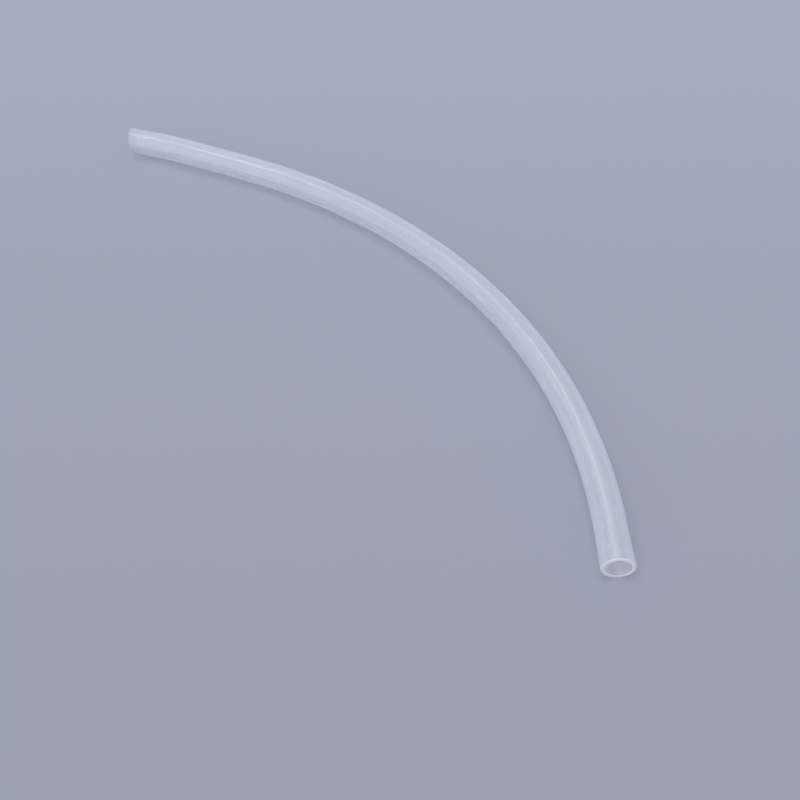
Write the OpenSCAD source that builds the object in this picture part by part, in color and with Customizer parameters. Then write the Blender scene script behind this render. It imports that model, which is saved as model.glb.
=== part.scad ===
// A cut length of soft silicone tubing, lying loose on a flat surface.
// It is one round tube with one round bore from end to end, cut square at both ends.
// Seen from above it is one even bend between two straight ends. The tube runs along X
// at the middle of its bend, and its near end is the one on the +X side.

/* [Tube] */
// Length of the tube along its middle line
tube_length = 300; // [200:5:480]
// Diameter of the bore
bore_d = 7; // [2:0.5:14]
// Thickness of the wall
wall = 1.5; // [0.5:0.25:4]

/* [Curve] */
// Radius of the bend at the tube's middle line
bend_radius = 210; // [160:5:600]
// Straight stretch at the near end
near_straight = 15; // [5:1:50]
// Straight stretch at the far end
far_straight = 50; // [5:1:60]

/* [Hidden] */
$fn = 120;

outer_d = bore_d + 2 * wall;

// Angle that a length of the bend turns through, in degrees
function turn(length) = length / bend_radius * 180 / PI;

// The bend takes what the straights leave of the tube's length, and turns evenly
half_angle = turn((tube_length - near_straight - far_straight) / 2);

// How far one half of the tube reaches along X from the middle of the bend.
// Neither half turns past a quarter turn, so its cut end lies furthest out.
function reach(straight) =
    (bend_radius + outer_d / 2) * sin(half_angle) + straight * cos(half_angle);

// How far one half drops towards -Y, down to the edge of its cut end
function drop(straight) =
    bend_radius * (1 - cos(half_angle))
        + straight * sin(half_angle)
        + outer_d / 2 * cos(half_angle);

// Middle of the tube's outline from above, measured from the middle of the bend
middle_x = (reach(near_straight) - reach(far_straight)) / 2;
middle_y = (outer_d / 2 - max(drop(near_straight), drop(far_straight))) / 2;

// Length of bend drawn past its middle before it is trimmed there
overdraw = 1;

// The tube's section: a ring
module section() {
    difference() {
        circle(d = outer_d);
        circle(d = bore_d);
    }
}

// Half of the tube: from the middle of the bend towards +X and -Y, then straight.
// It is trimmed flush with x = 0, where it meets its mirror image face to face.
module half(straight) {
    difference() {
        translate([0, -bend_radius, 0])
            rotate([0, 0, 90 - half_angle]) {
                rotate_extrude(angle = half_angle + turn(overdraw))
                    translate([bend_radius, 0])
                        section();
                translate([bend_radius, 0, 0])
                    rotate([90, 0, 0])
                        linear_extrude(straight)
                            section();
            }
        translate([-outer_d, -outer_d, -outer_d])
            cube([outer_d, 2 * outer_d, 2 * outer_d]);
    }
}

// The whole tube, resting on z = 0 with its outline centred on the origin
module silicone_tube() {
    color([0.86, 0.88, 0.93, 0.8])
        translate([-middle_x, -middle_y, outer_d / 2]) {
            half(near_straight);
            mirror([1, 0, 0])
                half(far_straight);
        }
}

silicone_tube();
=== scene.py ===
"""A short cut length of milky silicone tubing, lying in one gentle bend on a plain surface."""
import math

import bpy
import numpy as np
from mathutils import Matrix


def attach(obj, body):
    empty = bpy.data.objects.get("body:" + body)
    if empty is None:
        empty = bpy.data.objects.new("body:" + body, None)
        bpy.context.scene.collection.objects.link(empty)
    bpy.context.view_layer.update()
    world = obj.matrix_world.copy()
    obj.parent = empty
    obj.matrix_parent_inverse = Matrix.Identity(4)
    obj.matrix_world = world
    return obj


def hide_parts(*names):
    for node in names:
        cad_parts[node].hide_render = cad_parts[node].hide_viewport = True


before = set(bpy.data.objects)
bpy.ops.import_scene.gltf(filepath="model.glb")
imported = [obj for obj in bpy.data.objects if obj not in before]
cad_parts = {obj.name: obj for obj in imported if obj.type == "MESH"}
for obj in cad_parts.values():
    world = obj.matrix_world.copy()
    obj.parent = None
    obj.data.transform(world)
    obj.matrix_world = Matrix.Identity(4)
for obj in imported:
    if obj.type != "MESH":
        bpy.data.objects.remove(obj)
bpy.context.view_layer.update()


# Camera.
# It stands above the near cut end and to its side, and looks down across the hollow
# of the bend, so that the near mouth shows its bore and the far end is seen side on.
CAMERA_PLACE = (0.29611, -0.19078, 0.29648)
CAMERA_BELOW_LEVEL = 44.291
CAMERA_TURN = 56.294
CAMERA_LENS = 58.138

camera_data = bpy.data.cameras.new("camera")
camera_data.sensor_width = 36.0
camera_data.lens = CAMERA_LENS
camera_data.clip_start = 0.01
camera_data.clip_end = 20.0
camera = bpy.data.objects.new("camera", camera_data)
camera.location = CAMERA_PLACE
camera.rotation_euler = (math.radians(90 - CAMERA_BELOW_LEVEL), 0, math.radians(CAMERA_TURN))
bpy.context.scene.collection.objects.link(camera)
bpy.context.scene.camera = camera
bpy.context.scene.view_settings.view_transform = "Standard"


# Silicone tube.
# It is extruded milky silicone rubber with a 7 mm bore and a 1.5 mm wall, cut to 300 mm
# with a knife. It keeps some of the bend that it had on its reel, so it lies in one arc.
TUBE_LENGTH = 0.300
OUTER_RADIUS = 0.005
BORE_RADIUS = 0.0035
NEAR_STRAIGHT = 0.015
FAR_STRAIGHT = 0.050
BEND_RADIUS = 0.210
NEAR_MOUTH = np.array([0.139008442, -0.011085076])
NEAR_HEADING = math.atan2(0.530782893, -0.847507829)

# The far end's last stretch lies aside of the even bend, and the rest wavers about it.
FAR_END_ASIDE = 0.0018
FAR_END_REACH = 0.010
WAVER = 0.0003
WAVER_START = 0.045
WAVER_LENGTH = 0.235
WAVER_FADE = 0.05


def waver_at(along):
    """How far the tube lies to the left of its even bend.

    A bell curve brings the last few millimetres at the far end to the left, and a slow sine
    wave, which fades out at the near end by a bell curve, is taken from it.
    """
    bell = np.exp(-(((TUBE_LENGTH - along) / FAR_END_REACH) ** 2))
    wave = np.sin(2 * math.pi * (along - WAVER_START) / WAVER_LENGTH)
    wave = wave * (1 - np.exp(-((along / WAVER_FADE) ** 2)))
    return FAR_END_ASIDE * bell - WAVER * wave


def line_at(along):
    """Places and headings on the middle line from above, at distances from the near mouth.

    The heading is the first one plus the way run in the bend over the bend's radius. The place
    is the mouth, plus the straight run along the first heading, plus the bend's radius times
    the turn of the left-hand normal, plus the last straight run along the last heading. The
    waver moves it along the normal, and the waver's slope turns the heading.
    """
    bend = TUBE_LENGTH - NEAR_STRAIGHT - FAR_STRAIGHT
    close_by = 0.00005
    heading = NEAR_HEADING + np.clip(along - NEAR_STRAIGHT, 0, bend) / BEND_RADIUS
    first = np.array([math.cos(NEAR_HEADING), math.sin(NEAR_HEADING)])
    last_heading = NEAR_HEADING + bend / BEND_RADIUS
    last = np.array([math.cos(last_heading), math.sin(last_heading)])
    normal = np.stack([-np.sin(heading), np.cos(heading)], -1)
    place = (
        NEAR_MOUTH
        + np.minimum(along, NEAR_STRAIGHT)[..., None] * first
        + BEND_RADIUS * (np.array([-first[1], first[0]]) - normal)
        + np.maximum(along - NEAR_STRAIGHT - bend, 0)[..., None] * last
    )
    slope = (waver_at(along + close_by) - waver_at(along - close_by)) / (2 * close_by)
    return place + waver_at(along)[..., None] * normal, heading + slope


RING_STEP = 0.0015
BORE_RING_STEP = 0.0025
CLOSE_ROWS_MM = (0, 0.2, 0.5, 1.0, 1.6, 2.4, 3.4, 4.6, 6.0, 7.4, 8.8)
EVEN_ROWS_START = 0.010
ROUND_POINTS = 128
CUT_RINGS = 7
OUTER_EDGE = 0.00014
BORE_EDGE = 0.00034


def rows_between_cuts(edge, step):
    """Distances along the tube, from edge to the tube's length less edge.

    They have even steps, and closer ones within the first and last millimetres.
    """
    close = edge + np.array(CLOSE_ROWS_MM) / 1000
    first = edge + EVEN_ROWS_START
    even = np.linspace(first, TUBE_LENGTH - first, round(TUBE_LENGTH / step))
    return np.concatenate([close, even, TUBE_LENGTH - close[::-1]])


def wall_loop():
    """Distances along the tube and radii, once round the wall's lengthwise section.

    The loop runs along the outside to the far cut, across it, back along the bore, and across
    the near cut. Each corner is a quarter round: its radius times sine and cosine.
    """
    quarter = np.linspace(0, math.pi / 2, 5)
    outside = rows_between_cuts(OUTER_EDGE, RING_STEP)
    bore = rows_between_cuts(BORE_EDGE, BORE_RING_STEP)[::-1]
    cut = np.linspace(OUTER_RADIUS - OUTER_EDGE, BORE_RADIUS + BORE_EDGE, CUT_RINGS)
    outer_far = TUBE_LENGTH - OUTER_EDGE + OUTER_EDGE * np.sin(quarter)
    outer_fall = OUTER_RADIUS - OUTER_EDGE + OUTER_EDGE * np.cos(quarter)
    bore_far = TUBE_LENGTH - BORE_EDGE + BORE_EDGE * np.cos(quarter)
    bore_fall = BORE_RADIUS + BORE_EDGE - BORE_EDGE * np.sin(quarter)
    along = [outside, outer_far[1:], np.full(CUT_RINGS - 2, TUBE_LENGTH), bore_far[:-1]]
    radius = [np.full(len(outside), OUTER_RADIUS), outer_fall[1:], cut[1:-1], bore_fall[:-1]]
    along += [bore, TUBE_LENGTH - bore_far[::-1][1:], np.zeros(CUT_RINGS - 2)]
    radius += [np.full(len(bore), BORE_RADIUS), bore_fall[::-1][1:], cut[::-1][1:-1]]
    along += [TUBE_LENGTH - outer_far[::-1][:-1]]
    radius += [outer_fall[::-1][:-1]]
    return np.concatenate(along), np.concatenate(radius)


# Heights of the ridges, how many stand round the tube, where they start and how they twist.
DIE_RIDGES = ((0.000014, 5, 0.8, 5), (0.000008, 11, 2.1, -4), (0.000003, 23, 0.3, 3))
# Heights of the knife's marks, waves per metre, their shares sideways and upward, and starts.
KNIFE_MARKS = ((0.000012, 5200, 0.8, 0.6, 0), (0.000008, 9100, 0.75, 0.66, 1.3))
WIDTH = 0.985
WIDER_NEAR_END = 0.028
NEAR_END_REACH = 0.07
WIDER_MOUTH = 0.025
MOUTH_REACH = 0.006
FLATTER = 0.985
BORE_ASIDE = -0.00018
BORE_DOWN = -0.00020
NEAR_LONGER = 0.00025
NEAR_LEAN_UP = 0.085
NEAR_LEAN_ASIDE = 0.02
NEAR_CUT_FADE = 0.003
FAR_LONGER = 0.0004
FAR_LEAN_UP = 0.21
FAR_LEAN_ASIDE = 0.28
FAR_CUT_FADE = 0.005
CUT_FACE_DEPTH = 0.00008


def tube_points():
    """The tube's grid of points, each one's place on a tube pulled straight, and its shares.

    A point is the middle line's place, plus the section's sideways and upward parts: the
    radius, with faint ridges from the die, times cosine and sine, moved off the middle in the
    bore. Near each cut the grid is shifted along the line by the cut's lean and its knife
    marks, which fade into the tube. The shares say how far a point is from the bore towards
    the outside, and how much it belongs to a cut face.
    """
    along, radius = (part[:, None] for part in wall_loop())
    turn = np.linspace(0, 2 * math.pi, ROUND_POINTS, endpoint=False)[None, :]
    outer_share = (radius - BORE_RADIUS) / (OUTER_RADIUS - BORE_RADIUS)
    reach = radius + sum(
        height * np.sin(count * turn + start + twist * along)
        for height, count, start, twist in DIE_RIDGES
    )
    wider = WIDTH + WIDER_NEAR_END * np.exp(-((along / NEAR_END_REACH) ** 2))
    wider = wider + WIDER_MOUTH * np.exp(-((along / MOUTH_REACH) ** 2))
    sideways = wider * reach * np.cos(turn) + BORE_ASIDE * (1 - outer_share)
    upward = FLATTER * reach * np.sin(turn) + BORE_DOWN * (1 - outer_share)
    marks = sum(
        height * np.sin(waves * (aside * sideways + up * upward) + start)
        for height, waves, aside, up, start in KNIFE_MARKS
    )
    near_lean = NEAR_LEAN_ASIDE * sideways - NEAR_LEAN_UP * upward
    far_lean = FAR_LEAN_UP * upward - FAR_LEAN_ASIDE * sideways
    near_shift = np.exp(-along / NEAR_CUT_FADE) * (near_lean - NEAR_LONGER + marks)
    far_shift = np.exp(-(TUBE_LENGTH - along) / FAR_CUT_FADE) * (far_lean + FAR_LONGER - marks)
    placed, heading = line_at(along + near_shift + far_shift)
    points = np.stack(
        [
            placed[..., 0] - np.sin(heading) * sideways,
            placed[..., 1] + np.cos(heading) * sideways,
            FLATTER * OUTER_RADIUS + upward,
        ],
        -1,
    )
    straight = np.stack(
        np.broadcast_arrays(radius * np.cos(turn), radius * np.sin(turn), along), -1
    )
    from_cut = np.minimum(along, TUBE_LENGTH - along)
    cut_share = np.exp(-((from_cut / CUT_FACE_DEPTH) ** 2))
    shares = [np.broadcast_to(share, points.shape[:2]) for share in (outer_share, cut_share)]
    return points, straight, *shares


def grid_faces(rows, columns):
    """Quads of a grid closed both ways.

    Each one joins a point, the next point round, and the same two points one row on.
    """
    row, column = np.meshgrid(np.arange(rows), np.arange(columns), indexing="ij")
    next_row, next_column = (row + 1) % rows, (column + 1) % columns
    corners = [(row, column), (row, next_column), (next_row, next_column), (next_row, column)]
    return np.stack([r * columns + c for r, c in corners], -1).reshape(-1, 4)


class Signal:
    """A socket's value in a node tree: sums, products and quotients of it add Math nodes."""

    def __init__(self, tree, socket=None):
        self.tree = tree
        self.socket = socket

    def node(self, kind, settings=None, sockets=None, output=0):
        """Adds a node of that type, sets it and its sockets, and gives one of its outputs."""
        made = self.tree.nodes.new(kind)
        for name, value in (settings or {}).items():
            setattr(made, name, value)
        for name, value in (sockets or {}).items():
            if isinstance(value, Signal):
                self.tree.links.new(value.socket, made.inputs[name])
            else:
                made.inputs[name].default_value = value
        return Signal(self.tree, made.outputs[output] if made.outputs else None)

    def maths(self, operation, first, second):
        return self.node("ShaderNodeMath", {"operation": operation}, {0: first, 1: second})

    def __add__(self, other):
        return self.maths("ADD", self, other)

    def __mul__(self, other):
        return self.maths("MULTIPLY", self, other)

    def __truediv__(self, other):
        return self.maths("DIVIDE", self, other)

    __radd__ = __add__
    __rmul__ = __mul__


def empty_material(name):
    """A new material with no nodes, and a signal that starts its tree."""
    material = bpy.data.materials.new(name)
    material.use_nodes = True
    material.node_tree.nodes.clear()
    return material, Signal(material.node_tree)


# Milky silicone: part of the light goes through the clear rubber, a little warmer, and part
# comes back from the milk in it, a little bluer. It looks whiter where it is seen at a slant
# and where it is cut, and the bore's face has less milk, as painted shade inside the bore. The
# die leaves faint lines along the tube, and the milk is uneven.
CLEAR_RUBBER = (0.985, 0.99, 1.0, 1)
MILK_THINNER = (0.71, 0.78, 0.96, 1)
MILK_THICKER = (0.76, 0.82, 0.97, 1)
KNIFE_CUT = (0.80, 0.83, 1.0, 1)
LAMPS_PASS = (0.78, 0.763, 0.685, 1)
SILICONE_IOR = 1.41
LINES_DRAWN_OUT = 0.004
CLEAR_ROUGHNESS = 0.10
MILK_ROUGHNESS = 0.11
LINES_ROUGHER = 0.06
# Painted shade: the bore's face gets less milk than the outside, so the bore looks darker.
MILK_AT_BORE_PAINTED_SHADE = 0.05
MILK_OUTSIDE = 0.08
MILK_IN_LINES = 0.22
MILK_AT_SLANT = 0.75

silicone, start = empty_material("milky_silicone")
straight_place = start.node(
    "ShaderNodeAttribute", {"attribute_name": "straight_place"}, output="Vector"
)
outer_share = start.node("ShaderNodeAttribute", {"attribute_name": "outer_share"}, output="Fac")
cut_share = start.node("ShaderNodeAttribute", {"attribute_name": "cut_share"}, output="Fac")
drawn_out = start.node(
    "ShaderNodeVectorMath",
    {"operation": "MULTIPLY"},
    {0: straight_place, 1: (1, 1, LINES_DRAWN_OUT)},
)
die_lines = start.node(
    "ShaderNodeTexNoise",
    sockets={"Vector": drawn_out, "Scale": 480, "Detail": 1, "Roughness": 0.5},
)
clouds = start.node(
    "ShaderNodeTexNoise",
    sockets={"Vector": straight_place, "Scale": 70, "Detail": 3, "Roughness": 0.5},
)
milk_colour = start.node(
    "ShaderNodeMix",
    {"data_type": "RGBA"},
    {"Factor": clouds, "A": MILK_THINNER, "B": MILK_THICKER},
    output="Result",
)
fine_relief = start.node(
    "ShaderNodeBump",
    sockets={"Strength": 0.2, "Distance": 0.00003, "Height": die_lines},
    output="Normal",
)
clear_rubber = start.node(
    "ShaderNodeBsdfPrincipled",
    sockets={
        "Base Color": CLEAR_RUBBER,
        "Roughness": CLEAR_ROUGHNESS + LINES_ROUGHER * die_lines,
        "IOR": SILICONE_IOR,
        "Normal": fine_relief,
        "Transmission Weight": 1.0,
        "Alpha": 0.6,
    },
)
milk = start.node(
    "ShaderNodeBsdfPrincipled",
    sockets={
        "Base Color": milk_colour,
        "Roughness": MILK_ROUGHNESS + LINES_ROUGHER * die_lines,
        "IOR": SILICONE_IOR,
        "Normal": fine_relief,
    },
)
knife_cut = start.node(
    "ShaderNodeBsdfPrincipled",
    {"subsurface_method": "RANDOM_WALK"},
    {
        "Base Color": KNIFE_CUT,
        "Roughness": 0.45,
        "IOR": SILICONE_IOR,
        "Subsurface Weight": 1.0,
        "Subsurface Radius": (1.0, 1.0, 1.0),
        "Subsurface Scale": 0.003,
    },
)
slant = start.node("ShaderNodeLayerWeight", sockets={"Blend": 0.5}, output="Facing")
# The low milk at the bore is painted shade inside the bore.
milkiness = MILK_AT_BORE_PAINTED_SHADE + outer_share * (
    MILK_OUTSIDE + MILK_IN_LINES * die_lines + MILK_AT_SLANT * slant * slant
)
wall = start.node("ShaderNodeMixShader", sockets={0: milkiness, 1: clear_rubber, 2: milk})
silicone_body = start.node(
    "ShaderNodeMixShader", sockets={0: cut_share, 1: wall, 2: knife_cut}
)
for_lamps = start.node("ShaderNodeLightPath", output="Is Shadow Ray")
lets_through = start.node("ShaderNodeBsdfTransparent", sockets={"Color": LAMPS_PASS})
silicone_wall = start.node(
    "ShaderNodeMixShader", sockets={0: for_lamps, 1: silicone_body, 2: lets_through}
)
start.node("ShaderNodeOutputMaterial", sockets={"Surface": silicone_wall})

tube_grid, tube_straight, tube_outer, tube_cut = tube_points()
tube_mesh = bpy.data.meshes.new("silicone_tubing")
tube_mesh.from_pydata(
    tube_grid.reshape(-1, 3).tolist(), [], grid_faces(*tube_grid.shape[:2]).tolist()
)
tube_mesh.attributes.new("straight_place", "FLOAT_VECTOR", "POINT").data.foreach_set(
    "vector", tube_straight.astype(np.float32).ravel()
)
for share_name, share in (("outer_share", tube_outer), ("cut_share", tube_cut)):
    tube_mesh.attributes.new(share_name, "FLOAT", "POINT").data.foreach_set(
        "value", share.astype(np.float32).ravel()
    )
tube_mesh.polygons.foreach_set("use_smooth", np.ones(len(tube_mesh.polygons), bool))
tube_mesh.materials.append(silicone)
tube = bpy.data.objects.new("silicone_tubing", tube_mesh)
bpy.context.scene.collection.objects.link(tube)

PATH_POINTS = 61
tube_line = line_at(np.linspace(0, TUBE_LENGTH, PATH_POINTS))[0]
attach(tube, "root")
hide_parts("silicone_tube")


# Surface that the tube lies on.
# It is a plain grey-blue sheet with a matt finish, and it is not part of the object. Its colour
# has painted light behind the tube and painted shade in front of it, which even out farther
# away.
# The sheet's colour runs from painted shade in front of the tube to painted light behind it.
SURFACE_FRONT_PAINTED_SHADE = (0.284, 0.300, 0.392, 1)
SURFACE_BACK_PAINTED_LIGHT = (0.395, 0.427, 0.542, 1)
SURFACE_FAR = (0.345, 0.370, 0.472, 1)
SHADE_SLOPE = (-1.04, 0.70, 0)
SHADE_REACH = 0.6
FLOOR_HALF = 4

sheet_painted_shade_material, start = empty_material("matt_sheet")
place_on_sheet = start.node("ShaderNodeTexCoord", output="Object")
backwards = start.node(
    "ShaderNodeVectorMath",
    {"operation": "DOT_PRODUCT"},
    {0: place_on_sheet, 1: SHADE_SLOPE},
    output="Value",
)
far_out = start.node(
    "ShaderNodeVectorMath", {"operation": "LENGTH"}, {0: place_on_sheet}, output="Value"
) * (1 / SHADE_REACH)
far_squared = far_out * far_out
shade = 0.5 + backwards / (1 + far_squared * far_squared)
# Painted shade and painted light: the sheet's colour is mixed from its front and back colours
# by the shade factor.
sheet_painted_shade_colour = start.node(
    "ShaderNodeMix",
    {"data_type": "RGBA"},
    {"Factor": shade, "A": SURFACE_FRONT_PAINTED_SHADE, "B": SURFACE_BACK_PAINTED_LIGHT},
    output="Result",
)
sheet_body = start.node(
    "ShaderNodeBsdfPrincipled",
    sockets={"Base Color": sheet_painted_shade_colour, "Roughness": 0.75, "Specular IOR Level": 0.15},
)
start.node("ShaderNodeOutputMaterial", sockets={"Surface": sheet_body})
floor_mesh = bpy.data.meshes.new("floor")
floor_corners = [
    (FLOOR_HALF * x, FLOOR_HALF * y, 0) for x, y in ((-1, -1), (1, -1), (1, 1), (-1, 1))
]
floor_mesh.from_pydata(floor_corners, [], [(0, 1, 2, 3)])
floor_mesh.materials.append(sheet_painted_shade_material)
floor = bpy.data.objects.new("floor", floor_mesh)
bpy.context.scene.collection.objects.link(floor)


# Light.
# An even dome gives two fifths of the light and a broad soft lamp, nearly overhead, as much
# again. A wide weak lamp stands low on the hollow side of the bend and lights the cut end,
# and a small faint one behind the tube draws a thin streak along it.
DOME_LEVEL = 0.42


def add_lamp(name, level, azimuth, height, spread):
    """A soft lamp far off, at an azimuth and height and as wide as its spread, all in degrees.

    Its strength is the level at which it lights a white sheet on the floor, times pi over the
    sine of its height.
    """
    azimuth, height = math.radians(azimuth), math.radians(height)
    data = bpy.data.lights.new(name, "SUN")
    data.angle = math.radians(spread)
    data.energy = level * math.pi / math.sin(height)
    lamp = bpy.data.objects.new(name, data)
    lamp.rotation_euler = (math.pi / 2 - height, 0, azimuth + math.pi / 2)
    bpy.context.scene.collection.objects.link(lamp)


add_lamp("broad_lamp", level=0.46, azimuth=205, height=81, spread=46)
add_lamp("fill_lamp", level=0.14, azimuth=-75, height=32, spread=60)
add_lamp("streak_lamp", level=0.015, azimuth=168, height=50, spread=11)

world = bpy.data.worlds.new("world")
world.use_nodes = True
world.node_tree.nodes.clear()
start = Signal(world.node_tree)
dome = start.node(
    "ShaderNodeBackground", sockets={"Color": (1, 1, 1, 1), "Strength": DOME_LEVEL}
)
backdrop = start.node("ShaderNodeBackground", sockets={"Color": SURFACE_FAR, "Strength": 1.0})
seen = start.node("ShaderNodeLightPath", output="Is Camera Ray")
mirrored = start.node("ShaderNodeLightPath", output="Is Glossy Ray")
seen_through = start.node("ShaderNodeLightPath", output="Is Transmission Ray")
sky = start.node(
    "ShaderNodeMixShader", sockets={0: seen + mirrored + seen_through, 1: dome, 2: backdrop}
)
start.node("ShaderNodeOutputWorld", sockets={"Surface": sky})
bpy.context.scene.world = world


bpy.context.view_layer.update()
